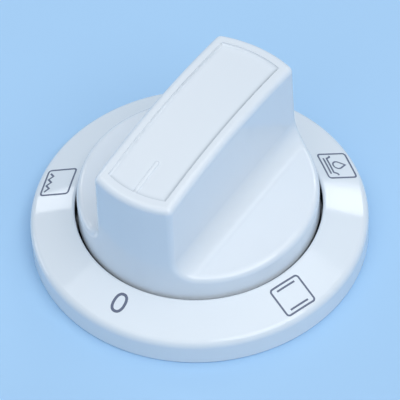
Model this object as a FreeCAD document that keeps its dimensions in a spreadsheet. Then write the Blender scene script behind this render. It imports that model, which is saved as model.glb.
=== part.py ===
import FreeCAD, Part
import math
import os
import re

import Sketcher

# Oven control knob: a grip knob that turns in a fixed dial ring.
# Frame: +Z along the shaft, away from the panel; the ring's back lies on z = 0; the pointer looks to -Y.
# The grip bar runs along Y, with one thumb scoop on each side of it along X.

SIZES = [
    # knob, outside
    ("knob_diameter", 44.6, "wall of the knob, measured at the panel"),
    ("knob_draft", 0.9, "degrees the wall leans in"),
    ("knob_height", 32.0, "top of the grip above the panel"),
    ("crown_radius", 130.0, "arch of the grip's top along its length"),
    ("bar_width", 16.3, "grip bar at its top"),
    ("bar_flare", 0.15, "how far each side of the bar spreads down to its foot"),
    ("scoop_height", 12.4, "lowest line of the scoop's floor"),
    ("scoop_offset", 16.0, "lowest line of the scoop from the axis"),
    ("scoop_radius", 36.0, "hollow of the scoop's floor"),
    ("valley_radius", 4.0, "between bar and scoop"),
    ("edge_radius", 1.3, "rounding of the knob's outer edges"),
    ("rim_width", 2.0, "frame beside the recessed top panel"),
    ("rim_end", 2.2, "that frame at the ends of the bar"),
    ("panel_depth", 0.5, "top panel below its frame"),
    ("panel_fillet", 0.4, "round where the top panel meets its frame"),
    ("pointer_length", 8.0, "pointer rib, from the frame inward"),
    ("pointer_width", 1.0, "pointer rib across"),
    ("pointer_rise", 0.35, "pointer rib above the top panel"),
    # knob, inside
    ("knob_wall", 2.0, "moulded walls of the knob"),
    ("knob_foot", 1.5, "skirt's lower end above the panel"),
    ("flange_width", 1.5, "flange that runs behind the ring"),
    ("flange_thickness", 1.2, "flange along the axis"),
    ("knob_rib", 1.2, "ribs under the scoops and beside the boss"),
    ("knob_rib_root", 1.0, "depth of a scoop's rib at the bar"),
    ("knob_rib_end", 5.4, "depth of a scoop's rib at the skirt"),
    ("boss_wall", 1.7, "wall of the hub's boss"),
    # dial ring
    ("ring_width", 8.3, "ring from its hole to its outside"),
    ("ring_height", 8.2, "ring at its hole"),
    ("ring_slope", 21.5, "degrees the printed face falls outward"),
    ("ring_shoulder", 1.6, "rounding between face and side"),
    ("ring_lip", 0.4, "rounding at the hole"),
    ("ring_foot", 0.3, "rounding at the back edge"),
    ("ring_wall", 2.0, "moulded walls of the ring"),
    ("ring_gap", 0.5, "gap between knob and ring at the face"),
    ("collar_wall", 1.6, "collar round the knob"),
    ("ring_rib", 1.2, "ribs in the ring's back"),
    ("ring_rib_count", 12, "how many such ribs"),
    ("ring_rib_foot", 1.2, "ribs' lower edge above the panel"),
    ("hook_count", 3, "snap hooks behind the flange"),
    ("hook_angle", 26.0, "degrees that one hook covers"),
    ("hook_thickness", 1.3, "hook's stem"),
    ("hook_reach", 0.8, "hook's nose under the flange"),
    ("hook_foot", 0.4, "hooks' lower end above the panel"),
    ("running_gap", 0.2, "flange to collar, hooks and noses"),
    ("peg_hole", 2.6, "locating hole for a panel peg"),
    ("peg_wall", 1.0, "wall round that hole"),
    ("peg_depth", 3.2, "depth of that hole"),
    # shaft hub and its spring
    ("shaft_diameter", 6.0, "switch shaft"),
    ("shaft_flat", 1.4, "depth of the shaft's flat"),
    ("shaft_gap", 0.05, "bore round the shaft"),
    ("lead_depth", 4.5, "round mouth of the bore"),
    ("lead_gap", 0.3, "round mouth about the shaft"),
    ("bore_depth", 18.0, "whole bore"),
    ("hub_wall", 2.15, "slit end of the hub round its bore"),
    ("shoulder_width", 0.8, "shoulder past the slit end"),
    ("shoulder_height", 1.2, "shoulder along the axis"),
    ("spigot_wall", 1.45, "end pressed into the boss, round its bore"),
    ("spigot_flat", 0.7, "depth of the two flats on that end"),
    ("spigot_gap", 0.02, "spigot in the boss"),
    ("hub_cap", 1.5, "closed end past the bore"),
    ("slit_width", 1.0, "slit through the hub's end"),
    ("slit_margin", 0.5, "solid left between slit and shoulder"),
    ("sleeve_thickness", 0.5, "steel of the spring sleeve"),
    ("sleeve_height", 4.0, "spring sleeve along the axis"),
    ("sleeve_seat", 0.3, "depth of the groove it sits in"),
    ("sleeve_foot", 1.0, "hub's mouth to the groove"),
    ("sleeve_land", 1.26, "groove to the shoulder"),
    ("sleeve_gap", 0.02, "sleeve in its groove"),
    ("sleeve_opening", 40.0, "degrees left open in the sleeve"),
]

doc = FreeCAD.newDocument("oven_control_knob")
sizes = doc.addObject("Spreadsheet::Sheet", "sizes")
for row, (alias, value, note) in enumerate(SIZES, start=1):
    sizes.set(f"A{row}", alias)
    sizes.set(f"B{row}", str(value))
    sizes.set(f"C{row}", note)
    sizes.setAlias(f"B{row}", alias)
doc.recompute()


def term(text):
    """Expression text with each size's name led back to the sheet."""
    names = [size[0] for size in SIZES]
    return re.sub(r"[a-z_]+", lambda word: "sizes." + word[0] if word[0] in names else word[0], text)


def number(text):
    return float(sizes.evalExpression(term(text)))


# Distance within which a point counts as lying on a surface
NEAR = 1e-3


def bind(feature, path, text):
    feature.setExpression(path, term(text))


# Expressions that more than one sub-part is built from
FLANGE_TOP = "(knob_foot + flange_thickness)"
FLANGE_RADIUS = "(knob_diameter / 2 - knob_foot * tan(knob_draft) + flange_width)"
COLLAR_FOOT = f"({FLANGE_TOP} + running_gap)"
HOLE_RADIUS = "(knob_diameter / 2 - ring_height * tan(knob_draft) + ring_gap)"
RING_RADIUS = f"({HOLE_RADIUS} + ring_width)"
TOP_RADIUS = "(knob_diameter / 2 - knob_height * tan(knob_draft))"
PANEL_RADIUS = f"({TOP_RADIUS} - rim_end)"
PANEL_HALF = "(bar_width / 2 - rim_width)"
BAR_FOOT = "(bar_width / 2 + bar_flare)"
BORE_RADIUS = "(shaft_diameter / 2 + shaft_gap)"
HUB_RADIUS = f"({BORE_RADIUS} + hub_wall)"
SPIGOT_RADIUS = f"({BORE_RADIUS} + spigot_wall)"
SPIGOT_TOP = "(knob_foot + bore_depth + hub_cap)"
GROOVE_FOOT = "(knob_foot + sleeve_foot)"
GROOVE_TOP = f"({GROOVE_FOOT} + sleeve_height + 2 * sleeve_gap)"
SHOULDER_FOOT = f"({GROOVE_TOP} + sleeve_land)"
BOSS_FOOT = f"({SHOULDER_FOOT} + shoulder_height)"
BOSS_RADIUS = f"({SPIGOT_RADIUS} + spigot_gap + boss_wall)"
CAVITY_TOP = "(scoop_height - knob_wall)"
CAVITY_RADIUS = f"(knob_diameter / 2 - {CAVITY_TOP} * tan(knob_draft) - knob_wall)"
GROOVE_RADIUS = f"({HUB_RADIUS} - sleeve_seat)"
SLEEVE_RADIUS = f"({GROOVE_RADIUS} + sleeve_gap)"


def ring_face(radius, depth="0"):
    """Height of the ring's sloping face at a radius, or of a layer under it."""
    return f"(ring_height - ({radius} - {HOLE_RADIUS}) * tan(ring_slope) - ({depth}) / cos(ring_slope))"


def crown(y, depth="0"):
    """Height of the arched top at a distance y from the middle, or of a layer under it."""
    return f"(knob_height - crown_radius + sqrt((crown_radius - ({depth})) ^ 2 - ({y}) ^ 2))"


def new_body(name):
    body = doc.addObject("PartDesign::Body", name)
    body.Label = name
    return body


def origin(body, role):
    return next(item for item in body.Origin.OriginFeatures if item.Role == role)


def new_sketch(body, name, role, offset=None):
    """Sketch on one of the body's own planes, lifted along that plane's normal by an expression."""
    sketch = body.newObject("Sketcher::SketchObject", name)
    sketch.AttachmentSupport = [(origin(body, role), "")]
    sketch.MapMode = "FlatFace"
    if offset is not None:
        bind(sketch, "AttachmentOffset.Base.z", offset)
    return sketch


def hold(sketch, element, point, x, y):
    """Tie a point of the sketch to a pair of expressions, measured from the origin."""
    for kind, text in (("DistanceX", x), ("DistanceY", y)):
        index = sketch.addConstraint(Sketcher.Constraint(kind, -1, 1, element, point, number(text)))
        bind(sketch, f"Constraints[{index}]", text)


def arc_between(start, end, radius):
    """Arc from start to end that bends left for a positive radius and right for a negative one."""
    chord = end - start
    half = chord.Length / 2
    left = FreeCAD.Vector(-chord.y, chord.x, 0).normalize()
    rise = math.sqrt(radius * radius - half * half)
    centre = (start + end) * 0.5 + left * math.copysign(rise, radius)
    first, last = (start, end) if radius > 0 else (end, start)
    angles = [math.atan2(point.y - centre.y, point.x - centre.x) for point in (first, last)]
    circle = Part.Circle(centre, FreeCAD.Vector(0, 0, 1), abs(radius))
    return Part.ArcOfCircle(circle, angles[0], angles[1])


def outline(sketch, corners):
    """Closed outline. A corner is (x, y), or (x, y, radius, turn) where an arc starts at it."""
    points = [FreeCAD.Vector(number(corner[0]), number(corner[1]), 0) for corner in corners]
    spans = []
    for index, corner in enumerate(corners):
        start, end = points[index], points[(index + 1) % len(points)]
        turn = corner[3] if len(corner) > 2 else 0
        if turn:
            element = sketch.addGeometry(arc_between(start, end, turn * number(corner[2])))
            radius = sketch.addConstraint(Sketcher.Constraint("Radius", element, number(corner[2])))
            bind(sketch, f"Constraints[{radius}]", corner[2])
        else:
            element = sketch.addGeometry(Part.LineSegment(start, end))
        ends = (1, 2) if turn >= 0 else (2, 1)
        spans.append((element, ends))
    for index, corner in enumerate(corners):
        element, ends = spans[index]
        before, ends_before = spans[index - 1]
        sketch.addConstraint(Sketcher.Constraint("Coincident", before, ends_before[1], element, ends[0]))
        hold(sketch, element, ends[0], corner[0], corner[1])


def ring_outline(sketch, diameter, x="0", y="0"):
    centre = FreeCAD.Vector(number(x), number(y), 0)
    circle = Part.Circle(centre, FreeCAD.Vector(0, 0, 1), number(diameter) / 2)
    element = sketch.addGeometry(circle)
    hold(sketch, element, 3, x, y)
    index = sketch.addConstraint(Sketcher.Constraint("Diameter", element, number(diameter)))
    bind(sketch, f"Constraints[{index}]", diameter)


def on_circle(radius, angle):
    return f"{radius} * cos({angle})", f"{radius} * sin({angle})"


def sector(sketch, inner, outer, angle):
    """Piece of a ring between two radii, a number of degrees wide about the direction of +Y."""
    first, last = f"(90 - {angle} / 2)", f"(90 + {angle} / 2)"
    outline(sketch, [
        on_circle(inner, first),
        on_circle(outer, first) + (outer, 1),
        on_circle(outer, last),
        on_circle(inner, last) + (inner, -1),
    ])


def feature(body, kind, name, sketch=None):
    item = body.newObject("PartDesign::" + kind, name)
    if sketch is not None:
        item.Profile = sketch
        sketch.Visibility = False
    return item


def revolve(body, name, sketch):
    item = feature(body, "Revolution", name, sketch)
    item.ReferenceAxis = (sketch, ["V_Axis"])
    item.Angle = 360
    doc.recompute()
    return item


def pad(body, name, sketch, length, symmetric=False):
    item = feature(body, "Pad", name, sketch)
    item.SideType = "Symmetric" if symmetric else "One side"
    bind(item, "Length", length)
    doc.recompute()
    return item


def pocket(body, name, sketch, length=None, symmetric=False, upward=False):
    """Cut by a sketch: through everything, or as deep as an expression says."""
    before = body.Shape.Volume
    item = feature(body, "Pocket", name, sketch)
    item.SideType = "Symmetric" if symmetric else "One side"
    item.Reversed = upward
    if length is None:
        item.Type = "ThroughAll"
    else:
        bind(item, "Length", length)
    doc.recompute()
    assert body.Shape.Volume < before, name + " cut nothing"
    return item


def polar(body, name, originals, count):
    item = feature(body, "PolarPattern", name)
    item.Originals = originals
    item.Axis = (origin(body, "Z_Axis"), [""])
    item.Angle = 360
    bind(item, "Occurrences", count)
    body.Tip = item
    doc.recompute()
    return item


def round_edges(body, name, radius, chosen):
    """Fillet the edges that the given test picks from the body's present shape."""
    base = body.Tip
    edges = [f"Edge{index}" for index, edge in enumerate(base.Shape.Edges, start=1) if chosen(edge)]
    assert edges, name + " found no edges"
    item = feature(body, "Fillet", name)
    item.Base = (base, edges)
    bind(item, "Radius", radius)
    body.Tip = item
    doc.recompute()
    return item


def along(edge, share):
    first, last = edge.ParameterRange
    return edge.valueAt(first + share * (last - first))


def on_arch(edge, depth="0"):
    """Whether an edge lies on the arched top, or on a layer under it."""
    centre, radius = number("knob_height - crown_radius"), number(f"crown_radius - {depth}")
    spots = [along(edge, share) for share in (0.1, 0.5, 0.9)]
    return all(abs(math.hypot(spot.y, spot.z - centre) - radius) < NEAR for spot in spots)


def circle_at(edge, radius, height):
    """True for a circle round the axis at this radius and height."""
    spot = along(edge, 0.4)
    return abs(math.hypot(spot.x, spot.y) - radius) < NEAR and abs(spot.z - height) < NEAR


def make_dial_ring():
    body = new_body("dial_ring")
    inner = f"({HOLE_RADIUS} + collar_wall)"
    outer = f"({RING_RADIUS} - ring_wall)"
    section = new_sketch(body, "RingSection", "XZ_Plane")
    outline(section, [
        (HOLE_RADIUS, COLLAR_FOOT),
        (inner, COLLAR_FOOT),
        (inner, ring_face(inner, "ring_wall")),
        (outer, ring_face(outer, "ring_wall")),
        (outer, "0"),
        (RING_RADIUS, "0"),
        (RING_RADIUS, ring_face(RING_RADIUS)),
        (HOLE_RADIUS, "ring_height"),
    ])
    revolve(body, "RingBlank", section)

    stem_inner = f"({FLANGE_RADIUS} + running_gap)"
    stem_outer = f"({stem_inner} + hook_thickness)"
    middle_layer = "ring_wall / 2"
    rib = new_sketch(body, "RingRibSection", "XZ_Plane")
    rib_inner = f"({inner} - collar_wall / 2)"
    rib_outer = f"({outer} + ring_wall / 2)"
    outline(rib, [
        (rib_inner, COLLAR_FOOT),
        (inner, COLLAR_FOOT),
        (stem_outer, "ring_rib_foot"),
        (rib_outer, "ring_rib_foot"),
        (rib_outer, ring_face(rib_outer, middle_layer)),
        (rib_inner, ring_face(rib_inner, middle_layer)),
    ])
    ribs = pad(body, "RingRib", rib, "ring_rib", symmetric=True)
    polar(body, "RingRibs", [ribs], "ring_rib_count")

    stem = new_sketch(body, "HookStem", "XY_Plane", "hook_foot")
    sector(stem, stem_inner, stem_outer, "hook_angle")
    stem_pad = pad(body, "Hook", stem, f"{ring_face(stem_outer, middle_layer)} - hook_foot")
    nose = new_sketch(body, "HookNose", "XY_Plane", "hook_foot")
    sector(nose, f"({FLANGE_RADIUS} - hook_reach)", stem_outer, "hook_angle")
    nose_pad = pad(body, "Nose", nose, "knob_foot - running_gap - hook_foot")
    polar(body, "Hooks", [stem_pad, nose_pad], "hook_count")

    peg_spread = "(peg_hole / 2 + peg_wall)"
    peg_x = f"({stem_inner} + {peg_spread})"
    peg_boss = new_sketch(body, "PegBosses", "XY_Plane")
    peg_holes = new_sketch(body, "PegHoles", "XY_Plane")
    for side in ("", "-"):
        ring_outline(peg_boss, f"2 * {peg_spread}", side + peg_x)
        ring_outline(peg_holes, "peg_hole", side + peg_x)
    pad(body, "PegBoss", peg_boss, ring_face(f"({peg_x} + {peg_spread})", middle_layer))
    pocket(body, "PegHole", peg_holes, "peg_depth", upward=True)

    round_edges(body, "Shoulder", "ring_shoulder",
                lambda edge: circle_at(edge, number(RING_RADIUS), number(ring_face(RING_RADIUS))))
    round_edges(body, "Lip", "ring_lip",
                lambda edge: circle_at(edge, number(HOLE_RADIUS), number("ring_height")))
    round_edges(body, "Foot", "ring_foot",
                lambda edge: circle_at(edge, number(RING_RADIUS), 0))
    return body


def make_panel_cutter():
    """The space over the recessed top panel: straight sides, ends that follow the wall, arched floor."""
    body = new_body("panel_space")
    foot = f"({crown(PANEL_RADIUS)} - 2 * panel_depth)"
    end = f"sqrt({PANEL_RADIUS} ^ 2 - {PANEL_HALF} ^ 2)"
    plan = new_sketch(body, "PanelPlan", "XY_Plane", foot)
    outline(plan, [
        (PANEL_HALF, f"-{end}"),
        (PANEL_HALF, end, PANEL_RADIUS, 1),
        (f"-{PANEL_HALF}", end),
        (f"-{PANEL_HALF}", f"-{end}", PANEL_RADIUS, 1),
    ])
    pad(body, "PanelBlock", plan, f"knob_height + panel_depth - {foot}")
    floor = new_sketch(body, "PanelFloor", "YZ_Plane")
    reach = "knob_diameter / 2"
    floor_radius = "crown_radius - panel_depth"
    outline(floor, [
        (f"-({reach})", f"{foot} - panel_depth"),
        (reach, f"{foot} - panel_depth"),
        (reach, crown(reach, "panel_depth"), floor_radius, 1),
        (f"-({reach})", crown(reach, "panel_depth")),
    ])
    pocket(body, "PanelArch", floor, symmetric=True)
    round_edges(body, "PanelFoot", "panel_fillet", lambda edge: on_arch(edge, "panel_depth"))
    return body


def shape_knob_outside(body):
    wall_foot = f"(knob_diameter / 2 - {FLANGE_TOP} * tan(knob_draft))"
    blank_top = "(knob_height + edge_radius)"
    blank = new_sketch(body, "KnobSection", "XZ_Plane")
    outline(blank, [
        ("0", "knob_foot"),
        (FLANGE_RADIUS, "knob_foot"),
        (FLANGE_RADIUS, FLANGE_TOP),
        (wall_foot, FLANGE_TOP),
        (f"(knob_diameter / 2 - {blank_top} * tan(knob_draft))", blank_top),
        ("0", blank_top),
    ])
    revolve(body, "KnobBlank", blank)

    arch = new_sketch(body, "TopArch", "YZ_Plane")
    reach = "knob_diameter / 2"
    sky = f"({blank_top} + edge_radius)"
    outline(arch, [
        (reach, crown(reach), "crown_radius", 1),
        (f"-({reach})", crown(reach)),
        (f"-({reach})", sky),
        (reach, sky),
    ])
    pocket(body, "Top", arch, symmetric=True)

    def floor_height(x):
        return f"(scoop_height + scoop_radius - sqrt(scoop_radius ^ 2 - ({x} - scoop_offset) ^ 2))"
    lean = f"bar_flare / (knob_height - {floor_height(BAR_FOOT)})"
    far = f"({FLANGE_RADIUS} + edge_radius)"
    scoop = new_sketch(body, "ScoopSection", "XZ_Plane")
    outline(scoop, [
        (BAR_FOOT, floor_height(BAR_FOOT), "scoop_radius", 1),
        (far, floor_height(far)),
        (far, sky),
        (f"(bar_width / 2 - ({sky} - knob_height) * {lean})", sky),
    ])
    cut = pocket(body, "Scoop", scoop, symmetric=True)
    pair = feature(body, "Mirrored", "Scoops")
    pair.Originals = [cut]
    pair.MirrorPlane = (origin(body, "YZ_Plane"), [""])
    body.Tip = pair
    doc.recompute()

    foot_x, foot_z = number(BAR_FOOT), number(floor_height(BAR_FOOT))

    def is_valley(edge):
        spot = along(edge, 0.5)
        return abs(abs(spot.x) - foot_x) < NEAR and abs(spot.z - foot_z) < NEAR
    round_edges(body, "Valleys", "valley_radius", is_valley)

    radius, slope = number("knob_diameter / 2"), number("tan(knob_draft)")

    def is_rim(edge):
        spots = [along(edge, share) for share in (0.1, 0.5, 0.9)]
        on_wall = all(abs(math.hypot(spot.x, spot.y) - radius + spot.z * slope) < NEAR for spot in spots)
        straight_up = abs(spots[0].x - spots[2].x) + abs(spots[0].y - spots[2].y)
        seam = on_wall and abs(spots[1].y) < NEAR and straight_up < 0.2 * (spots[2] - spots[0]).Length
        return (on_wall or on_arch(edge)) and not seam and spots[1].z > number(FLANGE_TOP) + NEAR
    round_edges(body, "OuterEdges", "edge_radius", is_rim)


def shape_knob_top(body):
    panel = make_panel_cutter()
    recess = feature(body, "Boolean", "TopPanel")
    recess.Type = "Cut"
    recess.setObjects([panel])
    body.Tip = recess
    doc.recompute()

    near = f"({PANEL_RADIUS} + rim_end / 2)"
    tip = f"({PANEL_RADIUS} - pointer_length + pointer_width / 2)"
    depth = "(panel_depth + pointer_width / 2 - pointer_rise)"
    near_z, tip_z = crown(near, depth), crown(tip, depth)
    rod = feature(body, "AdditiveCylinder", "Pointer")
    rod.Placement = FreeCAD.Placement(FreeCAD.Vector(), FreeCAD.Rotation(FreeCAD.Vector(1, 0, 0), 90))
    bind(rod, "Placement.Rotation.Angle", f"90 deg + atan(({tip_z} - {near_z}) / ({near} - {tip}))")
    bind(rod, "Height", f"sqrt(({near} - {tip}) ^ 2 + ({near_z} - {tip_z}) ^ 2)")
    end = feature(body, "AdditiveSphere", "PointerEnd")
    for item in (rod, end):
        bind(item, "Placement.Base.y", f"-{tip}")
        bind(item, "Placement.Base.z", tip_z)
        bind(item, "Radius", "pointer_width / 2")
    body.Tip = end
    doc.recompute()


def hollow_knob(body):
    skirt = new_sketch(body, "SkirtHollow", "XY_Plane", "knob_foot")
    ring_outline(skirt, f"2 * {CAVITY_RADIUS}")
    pocket(body, "Skirt", skirt, f"{CAVITY_TOP} - knob_foot", upward=True)

    roof = "(panel_depth + knob_wall)"
    foot = f"({CAVITY_TOP} - knob_wall)"
    top_reach = f"({PANEL_RADIUS} - knob_wall / 2)"
    foot_reach = f"({top_reach} + (knob_height - {foot}) * tan(knob_draft))"
    hollow = new_sketch(body, "BarHollow", "YZ_Plane")
    outline(hollow, [
        (f"-{foot_reach}", foot),
        (foot_reach, foot),
        (top_reach, crown(top_reach, roof), f"crown_radius - {roof}", 1),
        (f"-{top_reach}", crown(top_reach, roof)),
    ])
    pocket(body, "Bar", hollow, "bar_width - 2 * knob_wall", symmetric=True)

    boss_top = f"({SPIGOT_TOP} + knob_wall)"
    boss = new_sketch(body, "HubBoss", "XY_Plane", BOSS_FOOT)
    ring_outline(boss, f"2 * {BOSS_RADIUS}")
    pad(body, "Boss", boss, f"{boss_top} - {BOSS_FOOT}")
    web = new_sketch(body, "BossWeb", "XZ_Plane")
    web_reach = "(bar_width / 2 - knob_wall / 2)"
    outline(web, [
        (f"-{web_reach}", BOSS_FOOT),
        (web_reach, BOSS_FOOT),
        (web_reach, boss_top),
        (f"-{web_reach}", boss_top),
    ])
    pad(body, "Web", web, "knob_rib", symmetric=True)
    seat = new_sketch(body, "HubSeat", "XY_Plane", BOSS_FOOT)
    spigot_outline(seat, "spigot_gap")
    pocket(body, "Seat", seat, f"{SPIGOT_TOP} + spigot_gap - {BOSS_FOOT}", upward=True)

    rib = new_sketch(body, "KnobRibSection", "XZ_Plane")
    rib_end = f"({CAVITY_RADIUS} + knob_wall / 2)"
    rib_top = f"({CAVITY_TOP} + knob_wall / 2)"
    outline(rib, [
        (BAR_FOOT, f"{CAVITY_TOP} - knob_rib_root"),
        (rib_end, f"{CAVITY_TOP} - knob_rib_end"),
        (rib_end, rib_top),
        (BAR_FOOT, rib_top),
    ])
    ribs = pad(body, "KnobRib", rib, "knob_rib", symmetric=True)
    pair = feature(body, "Mirrored", "KnobRibs")
    pair.Originals = [ribs]
    pair.MirrorPlane = (origin(body, "YZ_Plane"), [""])
    body.Tip = pair
    doc.recompute()


def spigot_outline(sketch, gap):
    """Round bar with two flats across X, enlarged all round by a gap."""
    radius = f"({SPIGOT_RADIUS} + {gap})"
    flat = f"({radius} - spigot_flat)"
    edge = f"sqrt({radius} ^ 2 - {flat} ^ 2)"
    outline(sketch, [
        (flat, f"-{edge}"),
        (flat, edge, radius, 1),
        (f"-{flat}", edge),
        (f"-{flat}", f"-{edge}", radius, 1),
    ])


def make_knob_body():
    body = new_body("knob_body")
    shape_knob_outside(body)
    shape_knob_top(body)
    hollow_knob(body)
    return body


def make_shaft_hub():
    body = new_body("shaft_hub")
    shoulder_radius = f"({HUB_RADIUS} + shoulder_width)"
    section = new_sketch(body, "HubSection", "XZ_Plane")
    outline(section, [
        ("0", "knob_foot"),
        (HUB_RADIUS, "knob_foot"),
        (HUB_RADIUS, GROOVE_FOOT),
        (GROOVE_RADIUS, GROOVE_FOOT),
        (GROOVE_RADIUS, GROOVE_TOP),
        (HUB_RADIUS, GROOVE_TOP),
        (HUB_RADIUS, SHOULDER_FOOT),
        (shoulder_radius, SHOULDER_FOOT),
        (shoulder_radius, BOSS_FOOT),
        ("0", BOSS_FOOT),
    ])
    revolve(body, "HubBlank", section)
    spigot = new_sketch(body, "SpigotSection", "XY_Plane", BOSS_FOOT)
    spigot_outline(spigot, "0")
    pad(body, "Spigot", spigot, f"{SPIGOT_TOP} - {BOSS_FOOT}")

    mouth = new_sketch(body, "RoundMouth", "XY_Plane", "knob_foot")
    ring_outline(mouth, "shaft_diameter + 2 * lead_gap")
    pocket(body, "Mouth", mouth, "lead_depth", upward=True)
    flat = f"({BORE_RADIUS} - shaft_flat)"
    edge = f"sqrt({BORE_RADIUS} ^ 2 - {flat} ^ 2)"
    bore = new_sketch(body, "FlattedBore", "XY_Plane", "knob_foot")
    outline(bore, [
        (f"-{edge}", flat, BORE_RADIUS, 1),
        ("0", f"-{BORE_RADIUS}", BORE_RADIUS, 1),
        (edge, flat),
    ])
    pocket(body, "Bore", bore, "bore_depth", upward=True)

    slit_top = f"({SHOULDER_FOOT} - slit_margin)"
    slit = new_sketch(body, "SlitSection", "XZ_Plane")
    outline(slit, [
        ("-slit_width / 2", "0"),
        ("slit_width / 2", "0"),
        ("slit_width / 2", slit_top),
        ("-slit_width / 2", slit_top),
    ])
    pocket(body, "Slit", slit, symmetric=True)
    return body


def make_hub_spring():
    body = new_body("hub_spring")
    band = new_sketch(body, "SleeveSection", "XY_Plane", f"{GROOVE_FOOT} + sleeve_gap")
    outer = f"({SLEEVE_RADIUS} + sleeve_thickness)"
    first, last = "(90 + sleeve_opening / 2)", "(90 - sleeve_opening / 2)"
    outline(band, [
        on_circle(outer, first) + (outer, 1),
        ("0", f"-{outer}", outer, 1),
        on_circle(outer, last),
        on_circle(SLEEVE_RADIUS, last) + (SLEEVE_RADIUS, -1),
        ("0", f"-{SLEEVE_RADIUS}", SLEEVE_RADIUS, -1),
        on_circle(SLEEVE_RADIUS, first),
    ])
    pad(body, "Sleeve", band, "sleeve_height")
    return body


pieces = [make_dial_ring(), make_knob_body(), make_shaft_hub(), make_hub_spring()]
doc.recompute()

failed = [item.Name for item in doc.Objects if "Invalid" in item.State or "Error" in item.State]
assert not failed, f"failed features: {failed}"
for piece in pieces:
    assert not piece.Shape.isNull() and piece.Shape.isValid(), piece.Label + " has no valid shape"
    assert len(piece.Shape.Solids) == 1, piece.Label + " is not one solid"

os.makedirs("parts", exist_ok=True)
for piece in pieces:
    piece.Shape.exportStep(f"parts/{piece.Label}.step")
    print(piece.Label, round(piece.Shape.Volume, 1), "mm3")
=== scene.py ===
import math

import bpy
from mathutils import Matrix, Vector


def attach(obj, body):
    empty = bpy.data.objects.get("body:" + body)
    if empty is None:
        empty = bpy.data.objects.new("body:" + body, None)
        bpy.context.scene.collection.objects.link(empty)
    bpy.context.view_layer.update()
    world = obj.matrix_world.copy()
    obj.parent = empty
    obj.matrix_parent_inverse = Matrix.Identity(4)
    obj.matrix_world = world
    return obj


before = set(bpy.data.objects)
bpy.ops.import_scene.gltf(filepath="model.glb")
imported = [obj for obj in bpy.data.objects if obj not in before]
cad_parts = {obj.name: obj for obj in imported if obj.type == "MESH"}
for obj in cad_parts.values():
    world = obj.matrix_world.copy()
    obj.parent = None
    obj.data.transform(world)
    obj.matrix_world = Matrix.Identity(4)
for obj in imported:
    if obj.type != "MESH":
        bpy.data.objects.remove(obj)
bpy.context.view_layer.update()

# Oven control knob: the solids get their plastics and steel, and the dial ring gets its printed positions.
# Lengths are in millimetres unless a comment says otherwise, and MM makes them metres.
MM = 0.001


def colour(red, green, blue):
    return (red, green, blue, 1.0)


# Colours of the pieces
RING_PALE = colour(0.80, 0.85, 0.895)
RING_SHADED = colour(0.77, 0.825, 0.875)
KNOB_PALE = colour(0.81, 0.855, 0.90)
KNOB_SHADED = colour(0.78, 0.83, 0.88)
HUB_PALE = colour(0.64, 0.65, 0.65)
HUB_SHADED = colour(0.57, 0.58, 0.585)
STEEL_PALE = colour(0.62, 0.63, 0.64)
STEEL_DARK = colour(0.44, 0.45, 0.47)
INK_PALE = colour(0.135, 0.157, 0.230)
INK_DARK = colour(0.095, 0.112, 0.170)
# Dark colour of the painted shade along the foot of the knob's top panel frame
PANEL_SHADE = colour(0.30, 0.34, 0.38)
# Near-black colour of the painted shade deep in the gap between knob and ring
GAP_SHADE = colour(0.012, 0.014, 0.02)

# Colours around the object
TABLE_BLUE = colour(0.38, 0.62, 0.89)
TABLE_PALE = colour(0.42, 0.65, 0.90)
SKY_FILL = colour(0.78, 0.93, 1.10)
SKY_STRENGTH = 0.27

# How fine each pattern of a finish is, in waves per metre
FLOW_SCALE = 55.0
HAZE_SCALE = 420.0
PEEL_SCALE = 900.0
GRAIN_SCALE = 1800.0
PATCH_SCALE = 2600.0
CLOUD_SCALE = 3.0
ROLLING_SCALE = (120.0, 120.0, 6000.0)

# Depth of a finish's bumps, in metres
PLASTIC_DEPTH = 0.0001
STEEL_DEPTH = 0.00005

# Top panel of the knob, as the solid has it
PANEL_HALF = 6.15
PANEL_RADIUS = 19.6
PANEL_HEIGHT = 28.0

# Painted shade along the foot of the panel's frame: where it begins and is thickest inside the frame, and
# how dark on each side
PANEL_SHADE_BEGIN = 1.50
PANEL_SHADE_FOOT = 0.42
PANEL_SHADE_RIGHT = 0.58
PANEL_SHADE_NEAR = 0.35
PANEL_SHADE_FAINT = 0.10

# Painted shade on both walls of the gap between knob and ring: where it lies, and the heights between which
# it grows
GAP_INNER = 21.9
GAP_OUTER = 22.95
GAP_FOOT = 2.75
GAP_SHADE_BEGIN = 7.3
GAP_SHADE_FULL = 6.6

# Printed face of the dial ring, as the solid has it
KNOB_RADIUS = 22.3
KNOB_DRAFT = math.radians(0.9)
RING_GAP = 0.5
RING_HEIGHT = 8.2
RING_SLOPE = math.radians(21.5)
HOLE_RADIUS = KNOB_RADIUS - RING_HEIGHT * math.tan(KNOB_DRAFT) + RING_GAP

# Print: the ring of marks, the frame of a mark and the lines
PRINT_RADIUS = 26.93
PRINT_LIFT = 0.02
PRINT_SHIFT = (0.1, 0.2)
FRAME_WIDTH = 6.2
FRAME_HEIGHT = 5.75
FRAME_CORNER = 0.55
CORNER_SPANS = 6
LINE = 0.36
OFF_LINE = 0.54
DROP_LINE = 0.31
LINE_STEP = 0.25
SHARPEST_MITRE = 0.4

# Place of each mark about the turning axis, in degrees; the pointer looks to the off mark
OFF_ANGLE = 270.0
BOTH_HEATS_ANGLE = 341.3
DROP_ANGLE = 54.0
LOWER_HEAT_ANGLE = 126.0
GRILL_ANGLE = 198.0

# Heating bars of a mark, as shares of its frame
UPPER_BAR = 0.86
LOWER_BAR = 0.14
BAR_START = 0.18
BAR_END = 0.82

# Table: its outside and the distances at which it fades into the backdrop are in metres
FLOOR_RADIUS = 4.0
FADE_START = 0.15
FADE_END = 0.60
OPENING_RADIUS = 30.6
FLOOR_DEPTH = 0.02
FLOOR_SPANS = 96

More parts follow.
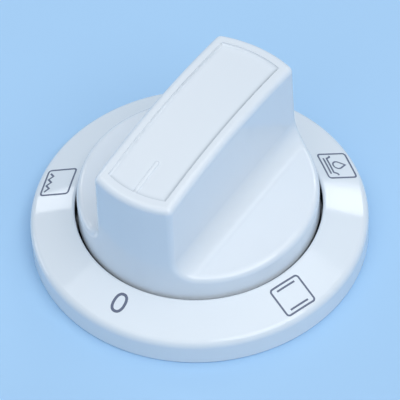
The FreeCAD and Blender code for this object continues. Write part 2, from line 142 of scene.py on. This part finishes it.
# Softboxes: name, azimuth and elevation in degrees, then distance, width and height in metres, power in
# watts, and the axis along which the front fades in with the share of the front that this takes
SOFTBOXES = (
    ("left_softbox", 161.9, 31.6, 0.30, 0.055, 0.085, 0.050, ("X", 0.60)),
    ("right_softbox", 89.2, 31.3, 0.90, 0.220, 0.182, 0.51, ("Y", 0.33)),
    ("top_softbox", -50.0, 77.0, 1.20, 2.00, 1.80, 12.6, None),
    ("key_softbox", -10.0, 54.0, 1.40, 0.90, 0.90, 4.8, None),
    ("low_softbox", 193.0, 6.0, 1.00, 0.40, 0.30, 0.80, None),
    ("under_softbox", -60.0, -65.0, 1.00, 0.80, 0.80, 6.0, None),
)
LIT_SPOT = Vector((0.0, 0.0, 10.0)) * MM

# Camera: angles in degrees, its distance in metres
CAMERA_LENS = 450.0
CAMERA_SENSOR = 36.0
CAMERA_AZIMUTH = -54.59
CAMERA_ELEVATION = 49.26
CAMERA_ROLL = -3.02
CAMERA_DISTANCE = 0.9225
SEEN_SPOT = Vector((-4.20, 6.39, 0.0)) * MM


class Wire:
    """A shader socket that is added, subtracted and multiplied like a number."""

    def __init__(self, tree, socket=None):
        self.tree = tree
        self.socket = socket

    def node(self, kind, settings=None, sockets=None, out=0):
        """Any node of this tree: its settings first, then the values or links of its sockets."""
        made = self.tree.nodes.new(kind)
        for name, value in (settings or {}).items():
            setattr(made, name, value)
        for name, value in (sockets or {}).items():
            if isinstance(value, Wire):
                self.tree.links.new(value.socket, made.inputs[name])
            else:
                made.inputs[name].default_value = value
        return Wire(self.tree, made.outputs[out] if made.outputs else None)

    def calculate(self, operation, first, second=0.0):
        return self.node("ShaderNodeMath", {"operation": operation}, {0: first, 1: second})

    def __add__(self, other):
        return self.calculate("ADD", self, other)

    def __sub__(self, other):
        return self.calculate("SUBTRACT", self, other)

    def __rsub__(self, other):
        return self.calculate("SUBTRACT", other, self)

    def __mul__(self, other):
        return self.calculate("MULTIPLY", self, other)

    __radd__ = __add__
    __rmul__ = __mul__


def start_material(name):
    """An empty material, a Wire that adds nodes to it, and the place on the object."""
    material = bpy.data.materials.new(name)
    material.use_nodes = True
    material.node_tree.nodes.clear()
    pen = Wire(material.node_tree)
    return material, pen, pen.node("ShaderNodeTexCoord", out="Object")


def end_material(pen, shader):
    pen.node("ShaderNodeOutputMaterial", None, {"Surface": shader})


def noise(pen, place, scale, detail, seed):
    return pen.node("ShaderNodeTexNoise", {"noise_dimensions": "4D"},
                    {"Vector": place, "Scale": scale, "Detail": detail, "W": seed})


def mixed(pen, share, first, second):
    """Blend of two colours, which are the seventh and eighth sockets of a Mix node."""
    return pen.node("ShaderNodeMix", {"data_type": "RGBA"}, {0: share, 6: first, 7: second}, 2)


def ramp(pen, value, begin, end, curve="LINEAR"):
    """None up to the beginning, one from the end on."""
    return pen.node("ShaderNodeMapRange", {"interpolation_type": curve},
                    {"Value": value, "From Min": begin, "From Max": end})


def bumped(pen, height, strength, depth):
    return pen.node("ShaderNodeBump", None,
                    {"Strength": strength, "Distance": depth, "Height": height}, "Normal")


def about_axis(pen, place):
    """Coordinates of a place, and its distance from the turning axis."""
    across, along, height = (pen.node("ShaderNodeSeparateXYZ", None, {0: place}, axis) for axis in "XYZ")
    spread = pen.calculate("SQRT", across * across + along * along)
    return across, along, height, spread


def panel_painted_shade(pen, place):
    """Painted shade on the top panel along the foot of its frame: most on the right, some at the near end,
    faint on the left and far side.
    """
    across, along, height, spread = about_axis(pen, place)
    outward = spread * pen.calculate("SIGN", along)
    sides = (
        (across, PANEL_HALF, PANEL_SHADE_RIGHT),
        (0.0 - across, PANEL_HALF, PANEL_SHADE_FAINT),
        (0.0 - outward, PANEL_RADIUS, PANEL_SHADE_NEAR),
        (outward, PANEL_RADIUS, PANEL_SHADE_FAINT),
    )
    painted_shade = 0.0
    on_panel = pen.calculate("GREATER_THAN", height, PANEL_HEIGHT * MM)
    for distance, edge, thickness in sides:
        foot = (edge - PANEL_SHADE_FOOT) * MM
        rise = ramp(pen, distance, (edge - PANEL_SHADE_BEGIN) * MM, foot)
        past_foot = ramp(pen, distance, foot, edge * MM, "SMOOTHSTEP")
        painted_shade = pen.calculate("MAXIMUM", thickness * rise * rise * rise, painted_shade)
        on_panel = on_panel * (1.0 - past_foot)
    return painted_shade * on_panel


def gap_painted_shade(pen, place):
    """Painted shade on the walls of the gap that the knob turns in, darker further down."""
    across, along, height, spread = about_axis(pen, place)
    outside = pen.calculate("GREATER_THAN", spread, GAP_INNER * MM)
    inside = pen.calculate("LESS_THAN", spread, GAP_OUTER * MM)
    above = pen.calculate("GREATER_THAN", height, GAP_FOOT * MM)
    return outside * inside * above * ramp(pen, height, GAP_SHADE_BEGIN * MM, GAP_SHADE_FULL * MM)


def glossy_moulding(name, pale, shaded, seed, panel_shaded=False):
    """Injection-moulded white plastic: clear gloss, the faint flow of the melt, a trace of orange peel,
    painted shade deep in the gap between knob and ring, and where asked for painted shade along the foot of
    the top panel's frame.
    """
    material, pen, place = start_material(name)
    body = mixed(pen, noise(pen, place, FLOW_SCALE, detail=3.0, seed=seed), shaded, pale)
    # On the knob, painted shade along the foot of the top panel's frame darkens the body colour
    if panel_shaded:
        body = mixed(pen, panel_painted_shade(pen, place), body, PANEL_SHADE)
    # Painted shade deep in the gap between knob and ring: a near-black colour and a rougher surface
    gap_darkening = gap_painted_shade(pen, place)
    haze = noise(pen, place, HAZE_SCALE, detail=4.0, seed=seed + 1.0)
    peel = noise(pen, place, PEEL_SCALE, detail=2.0, seed=seed + 2.0)
    shader = pen.node("ShaderNodeBsdfPrincipled", None, {
        "Base Color": mixed(pen, gap_darkening, body, GAP_SHADE),
        "Roughness": 0.04 + 0.05 * haze + 0.6 * gap_darkening,
        "IOR": 1.53,
        "Normal": bumped(pen, peel, strength=0.05, depth=PLASTIC_DEPTH),
    })
    end_material(pen, shader)
    return material


def plain_moulding(name, pale, shaded, seed):
    """Unpolished light grey plastic of the hub."""
    material, pen, place = start_material(name)
    grain = noise(pen, place, GRAIN_SCALE, detail=4.0, seed=seed)
    shader = pen.node("ShaderNodeBsdfPrincipled", None, {
        "Base Color": mixed(pen, grain, shaded, pale),
        "Roughness": 0.38 + 0.2 * grain,
        "Normal": bumped(pen, grain, strength=0.25, depth=PLASTIC_DEPTH),
    })
    end_material(pen, shader)
    return material


def rolled_steel(name, seed):
    """Spring strip with the fine lines that rolling leaves round the sleeve."""
    material, pen, place = start_material(name)
    stretched = pen.node("ShaderNodeMapping", None, {"Vector": place, "Scale": ROLLING_SCALE})
    lines = noise(pen, stretched, scale=1.0, detail=5.0, seed=seed)
    shader = pen.node("ShaderNodeBsdfPrincipled", None, {
        "Base Color": mixed(pen, lines, STEEL_DARK, STEEL_PALE),
        "Metallic": 1.0,
        "Roughness": 0.24 + 0.16 * lines,
        "Normal": bumped(pen, lines, strength=0.2, depth=STEEL_DEPTH),
    })
    end_material(pen, shader)
    return material


def printing_ink(name, seed):
    """Slate ink of the dial, a little uneven where the pad laid it down."""
    material, pen, place = start_material(name)
    patches = noise(pen, place, PATCH_SCALE, detail=3.0, seed=seed)
    shader = pen.node("ShaderNodeBsdfPrincipled", None, {
        "Base Color": mixed(pen, patches, INK_DARK, INK_PALE),
        "Roughness": 0.3 + 0.15 * patches,
    })
    end_material(pen, shader)
    return material


def backdrop_share(pen):
    """One for the rays that look at the backdrop or mirror it, none for the rays that light the object."""
    looking = pen.node("ShaderNodeLightPath", out="Is Camera Ray")
    mirrored = pen.node("ShaderNodeLightPath", out="Is Glossy Ray")
    return looking + mirrored


def pale_table(name, seed):
    """Pale blue table that fades into the backdrop and is clear from below, where it would hide the back."""
    material, pen, place = start_material(name)
    cloud = noise(pen, place, CLOUD_SCALE, detail=2.0, seed=seed)
    surface = pen.node("ShaderNodeBsdfPrincipled", None, {
        "Base Color": mixed(pen, cloud, TABLE_BLUE, TABLE_PALE),
        "Roughness": 0.6,
    })
    reach = pen.node("ShaderNodeVectorMath", {"operation": "LENGTH"}, {0: place}, "Value")
    far = ramp(pen, reach, FADE_START, FADE_END, "SMOOTHSTEP")
    backdrop = pen.node("ShaderNodeEmission", None, {"Color": TABLE_BLUE, "Strength": 1.0})
    table = pen.node("ShaderNodeMixShader", None, {0: far * backdrop_share(pen), 1: surface, 2: backdrop})
    under = pen.node("ShaderNodeNewGeometry", out="Backfacing")
    clear = pen.node("ShaderNodeBsdfTransparent")
    end_material(pen, pen.node("ShaderNodeMixShader", None, {0: under, 1: table, 2: clear}))
    return material


def dial_spot(angle, right, out):
    """Point on the ring's sloping face, from a mark's own middle: to its right and outward."""
    turn = math.radians(angle)
    level = PRINT_RADIUS + out * math.cos(RING_SLOPE)
    x = level * math.cos(turn) + right * math.sin(turn) + PRINT_SHIFT[0]
    y = level * math.sin(turn) - right * math.cos(turn) + PRINT_SHIFT[1]
    z = RING_HEIGHT - (math.hypot(x, y) - HOLE_RADIUS) * math.tan(RING_SLOPE) + PRINT_LIFT
    return Vector((x, y, z)) * MM


def fine_path(corners, closed):
    """Path with no span longer than LINE_STEP, so that it lies down on the cone."""
    path = []
    ends = corners[1:] + corners[:1] if closed else corners[1:]
    for start, end in zip(corners, ends):
        first, last = Vector(start), Vector(end)
        count = max(1, math.ceil((last - first).length / LINE_STEP))
        path += [first.lerp(last, index / count) for index in range(count)]
    return path if closed else path + [Vector(corners[-1])]


def edge_offset(path, index, closed):
    """Half-width direction at a point of a path, lengthened at a corner so that the line keeps its width."""
    before = path[index - 1] if closed or index else path[index]
    after = path[(index + 1) % len(path)] if closed or index + 1 < len(path) else path[index]
    here = path[index]
    runs = [run.normalized() for run in (here - before, after - here) if run.length > 0]
    sides = [Vector((-run.y, run.x)) for run in runs]
    middle = sum(sides, Vector((0.0, 0.0))).normalized()
    return middle / max(SHARPEST_MITRE, middle.dot(sides[0]))


def add_line(ink, angle, corners, width=LINE, closed=False):
    """Lay one printed line on the ring as a ribbon."""
    points, faces = ink
    path = fine_path(corners, closed)
    first = len(points)
    for index, here in enumerate(path):
        side = edge_offset(path, index, closed) * width / 2
        for edge in (here + side, here - side):
            points.append(dial_spot(angle, edge.x, edge.y))
    count = len(path)
    for index in range(count if closed else count - 1):
        a = first + 2 * index
        b = first + 2 * ((index + 1) % count)
        faces.append((a + 1, b + 1, b, a))


def add_frame(ink, angle):
    """Square frame of a mark with its small corner arcs."""
    outline = []
    for quarter, (side, end) in enumerate(((1, 1), (-1, 1), (-1, -1), (1, -1))):
        centre = Vector((side * (FRAME_WIDTH / 2 - FRAME_CORNER), end * (FRAME_HEIGHT / 2 - FRAME_CORNER)))
        for part in range(CORNER_SPANS + 1):
            turn = math.radians(90 * (quarter + part / CORNER_SPANS))
            outline.append(tuple(centre + FRAME_CORNER * Vector((math.cos(turn), math.sin(turn)))))
    add_line(ink, angle, outline, closed=True)


def in_frame(across, up):
    """Point of a mark given as shares of its frame's width and height."""
    return ((across - 0.5) * FRAME_WIDTH, (up - 0.5) * FRAME_HEIGHT)


def add_off_mark(ink, angle):
    """The figure 0: an upright oval with slightly flattened sides."""
    half_width, half_height, fullness, inward = 1.1, 1.72, 0.86, 0.44
    spans = 48
    oval = []
    for part in range(spans):
        turn = math.tau * part / spans
        across = math.copysign(abs(math.cos(turn)) ** fullness, math.cos(turn))
        up = math.copysign(abs(math.sin(turn)) ** fullness, math.sin(turn))
        oval.append((half_width * across, half_height * up - inward))
    add_line(ink, angle, oval, OFF_LINE, closed=True)


def add_heat_mark(ink, angle, levels):
    """Frame with a heating bar at each of the given heights."""
    add_frame(ink, angle)
    for level in levels:
        add_line(ink, angle, [in_frame(BAR_START, level), in_frame(BAR_END, level)])


def add_grill_mark(ink, angle):
    """Frame with the zigzag of a grill element under its top."""
    add_frame(ink, angle)
    start, length, upper, lower = 0.13, 0.74, 0.90, 0.765
    strokes = 6
    zigzag = []
    for part in range(strokes + 1):
        level = lower if part % 2 else upper
        zigzag.append(in_frame(start + length * part / strokes, level))
    add_line(ink, angle, zigzag)


def add_drop_mark(ink, angle):
    """Frame with a water drop over a tray and the bar that heats it."""
    add_frame(ink, angle)
    bar = [(0.17, 0.145), (0.83, 0.145)]
    tray = [(0.08, 0.40), (0.14, 0.38), (0.19, 0.26), (0.78, 0.26), (0.83, 0.38), (0.90, 0.40)]
    for shares in (bar, tray):
        add_line(ink, angle, [in_frame(across, up) for across, up in shares])
    middle = Vector(in_frame(0.485, 0.525))
    round_part, tip = 0.88, 1.62
    lean = math.asin(round_part / tip)
    spans = 24
    drop = [tuple(middle + Vector((0.0, tip)))]
    for part in range(spans + 1):
        turn = math.pi - lean + (math.pi + 2 * lean) * part / spans
        drop.append(tuple(middle + round_part * Vector((math.cos(turn), math.sin(turn)))))
    add_line(ink, angle, drop, DROP_LINE, closed=True)


def make_print():
    """All printed positions, about a fifth of a turn apart, as one film on the ring."""
    ink = ([], [])
    add_off_mark(ink, OFF_ANGLE)
    add_heat_mark(ink, BOTH_HEATS_ANGLE, (LOWER_BAR, UPPER_BAR))
    add_drop_mark(ink, DROP_ANGLE)
    add_heat_mark(ink, LOWER_HEAT_ANGLE, (LOWER_BAR,))
    add_grill_mark(ink, GRILL_ANGLE)
    points, faces = ink
    mesh = bpy.data.meshes.new("dial_print")
    mesh.from_pydata(points, [], faces)
    mesh.shade_smooth()
    mesh.materials.append(printing_ink("slate_ink", seed=6.0))
    film = bpy.data.objects.new("dial_print", mesh)
    bpy.context.scene.collection.objects.link(film)
    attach(film, "ring")


def dress(node, material):
    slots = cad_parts[node].data.materials
    slots.clear()
    slots.append(material)


def make_floor():
    """Round table top with the opening of an oven panel under the ring, so that light reaches the back."""
    points, faces = [], []
    for reach in (OPENING_RADIUS * MM, FLOOR_RADIUS):
        for part in range(FLOOR_SPANS):
            turn = math.tau * part / FLOOR_SPANS
            points.append((reach * math.cos(turn), reach * math.sin(turn), -FLOOR_DEPTH * MM))
    for part in range(FLOOR_SPANS):
        after = (part + 1) % FLOOR_SPANS
        faces.append((part, FLOOR_SPANS + part, FLOOR_SPANS + after, after))
    mesh = bpy.data.meshes.new("floor")
    mesh.from_pydata(points, [], faces)
    mesh.materials.append(pale_table("pale_table", seed=8.0))
    floor = bpy.data.objects.new("floor", mesh)
    bpy.context.scene.collection.objects.link(floor)


def look_from(azimuth, elevation, distance, target):
    """Matrix of something at that distance and in that direction which looks back at the target."""
    turn, rise = math.radians(azimuth), math.radians(elevation)
    direction = Vector((math.cos(turn) * math.cos(rise), math.sin(turn) * math.cos(rise), math.sin(rise)))
    facing = (-direction).to_track_quat("-Z", "Y").to_matrix().to_4x4()
    return Matrix.Translation(target + direction * distance) @ facing


def feather_front(lamp, axis, share):
    """Let the front of a softbox fade in from one of its sides."""
    lamp.use_nodes = True
    lamp.node_tree.nodes.clear()
    pen = Wire(lamp.node_tree)
    front = pen.node("ShaderNodeNewGeometry", out="Parametric")
    reach = pen.node("ShaderNodeSeparateXYZ", None, {0: front}, axis)
    glow = ramp(pen, reach, 0.0, share, "SMOOTHSTEP")
    emission = pen.node("ShaderNodeEmission", None, {"Color": glow, "Strength": 1.0})
    pen.node("ShaderNodeOutputLight", None, {"Surface": emission})


def add_softbox(name, azimuth, elevation, distance, width, height, power, feather):
    lamp = bpy.data.lights.new(name, "AREA")
    lamp.shape = "RECTANGLE"
    lamp.size = width
    lamp.size_y = height
    lamp.energy = power
    if feather:
        feather_front(lamp, *feather)
    box = bpy.data.objects.new(name, lamp)
    bpy.context.scene.collection.objects.link(box)
    box.matrix_world = look_from(azimuth, elevation, distance, LIT_SPOT)


def make_light():
    """Faint sky that looks like the table where it is seen or mirrored, and the softboxes."""
    world = bpy.data.worlds.new("studio")
    world.use_nodes = True
    world.node_tree.nodes.clear()
    pen = Wire(world.node_tree)
    fill = pen.node("ShaderNodeBackground", None, {"Color": SKY_FILL, "Strength": SKY_STRENGTH})
    backdrop = pen.node("ShaderNodeBackground", None, {"Color": TABLE_BLUE, "Strength": 1.0})
    sky = pen.node("ShaderNodeMixShader", None, {0: backdrop_share(pen), 1: fill, 2: backdrop})
    pen.node("ShaderNodeOutputWorld", None, {"Surface": sky})
    bpy.context.scene.world = world
    for softbox in SOFTBOXES:
        add_softbox(*softbox)


def make_camera():
    """Long lens that looks down from the right of the pointer, rolled a little."""
    view = bpy.data.cameras.new("camera")
    view.lens = CAMERA_LENS
    view.sensor_width = CAMERA_SENSOR
    camera = bpy.data.objects.new("camera", view)
    bpy.context.scene.collection.objects.link(camera)
    level = look_from(CAMERA_AZIMUTH, CAMERA_ELEVATION, CAMERA_DISTANCE, SEEN_SPOT)
    camera.matrix_world = level @ Matrix.Rotation(math.radians(CAMERA_ROLL), 4, "Z")
    bpy.context.scene.camera = camera


dress("dial_ring", glossy_moulding("ring_white", RING_PALE, RING_SHADED, seed=1.0))
# The knob's plastic also carries the painted shade along the foot of its top panel's frame
dress("knob_body", glossy_moulding("knob_white", KNOB_PALE, KNOB_SHADED, seed=11.0, panel_shaded=True))
dress("shaft_hub", plain_moulding("hub_grey", HUB_PALE, HUB_SHADED, seed=21.0))
dress("hub_spring", rolled_steel("spring_strip", seed=4.0))
make_print()
make_floor()
make_light()
make_camera()
bpy.context.scene.view_settings.view_transform = "Standard"
